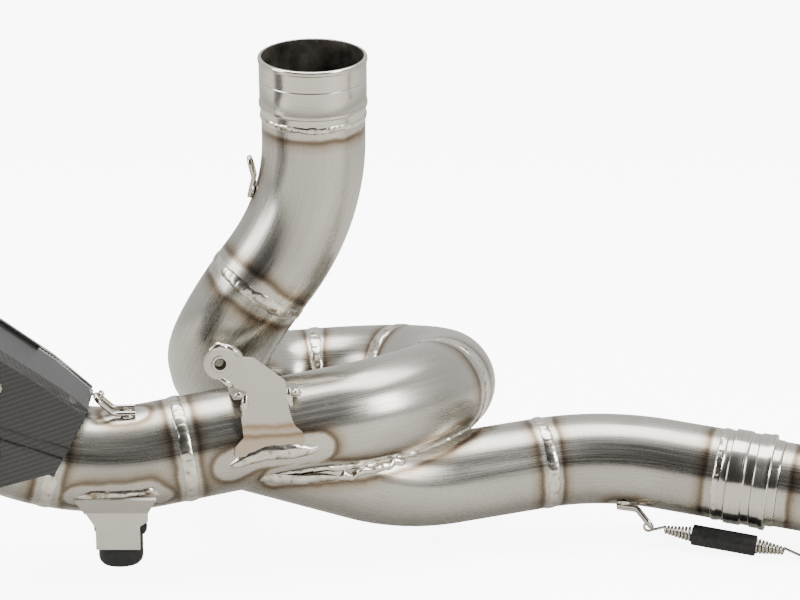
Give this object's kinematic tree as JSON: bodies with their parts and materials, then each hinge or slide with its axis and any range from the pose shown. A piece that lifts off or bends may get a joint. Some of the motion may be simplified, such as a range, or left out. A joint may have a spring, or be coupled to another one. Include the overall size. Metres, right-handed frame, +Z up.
{
  "type": "racing exhaust system",
  "caption": "Two-into-one motorcycle racing exhaust with a looped rear pipe, slip-jointed front pipe, collector, brackets and carbon silencer.",
  "frame": {"origin": "centre of the rear pipe's open slip socket, at its mouth", "axes": "+X towards the front cylinder, +Y across the machine, +Z up"},
  "size_m": [0.9312, 0.2959, 0.3004],
  "materials": {
    "tube_steel": "brushed, heat tinted at the welds",
    "turned_steel": "turned, bright",
    "plate_steel": "satin sheet",
    "wire_steel": "bright drawn wire",
    "rivet_steel": "bright",
    "copper": "soft copper",
    "rubber": "moulded",
    "carbon_laminate": "twill weave, clear coat",
    "glass_wool": "packed fibre"
  },
  "bodies": {
    "pipes": {"rear_socket": "turned_steel", "rear_upper_bend": "tube_steel", "rear_lower_bend": "tube_steel", "link_tube": "tube_steel", "loop_back_bend": "tube_steel", "collector_rear_leg": "tube_steel", "collector_front_leg": "tube_steel", "outlet_bend": "tube_steel", "outlet_spigot": "tube_steel", "front_bend": "tube_steel", "front_socket": "turned_steel", "rear_hook_left": "wire_steel", "rear_hook_back": "wire_steel", "front_hook_low": "wire_steel", "front_hook_back": "wire_steel", "outlet_hook_top": "wire_steel", "outlet_hook_low": "wire_steel", "front_spring_low": "wire_steel", "front_spring_back": "wire_steel", "spring_sleeve_low": "rubber", "spring_sleeve_back": "rubber", "silencer_spring_top": "wire_steel", "silencer_spring_low": "wire_steel", "frame_bracket": "plate_steel", "bracket_eye": "plate_steel", "bracket_insert": "turned_steel", "bracket_gusset": "plate_steel", "stand_stop_bracket": "plate_steel", "stop_rubber": "rubber", "stop_pin": "rubber"},
    "header": {"header_collar": "turned_steel", "header_pipe": "tube_steel", "header_flare": "tube_steel", "port_gasket": "copper", "header_hook_low": "wire_steel", "header_hook_back": "wire_steel"},
    "flange": {"port_flange": "turned_steel"},
    "silencer": {"inlet_socket": "turned_steel", "front_plate": "plate_steel", "rear_plate": "plate_steel", "perforated_core": "tube_steel", "packing_wool": "glass_wool", "silencer_upper_shell": "carbon_laminate", "silencer_lower_shell": "carbon_laminate", "end_cap": "carbon_laminate", "tail_ring": "tube_steel", "hanger_strap": "plate_steel", "silencer_guard": "carbon_laminate", "silencer_rivets": "rivet_steel", "silencer_hook_top": "wire_steel", "silencer_hook_low": "wire_steel"}
  },
  "joints": [
    {"name": "header_slip", "type": "slide", "parent": "pipes", "child": "header", "axis": [0.962, -0.2517, -0.1063], "range_m": [0, 0.012], "stiffness_N_per_m": 6000, "springref_m": -0.004, "deforming": ["front_spring_low", "front_spring_back"]},
    {"name": "flange_turn", "type": "hinge", "parent": "header", "child": "flange", "pos_m": [0.42719, -0.01868, -0.11288], "axis": [0.2496, 0.0499, 0.9671], "continuous": true},
    {"name": "silencer_slip", "type": "slide", "parent": "pipes", "child": "silencer", "axis": [-0.8799, -0.07, 0.47], "range_m": [0, 0.012], "stiffness_N_per_m": 8000, "springref_m": -0.006, "deforming": ["silencer_spring_top", "silencer_spring_low"]}
  ]
}
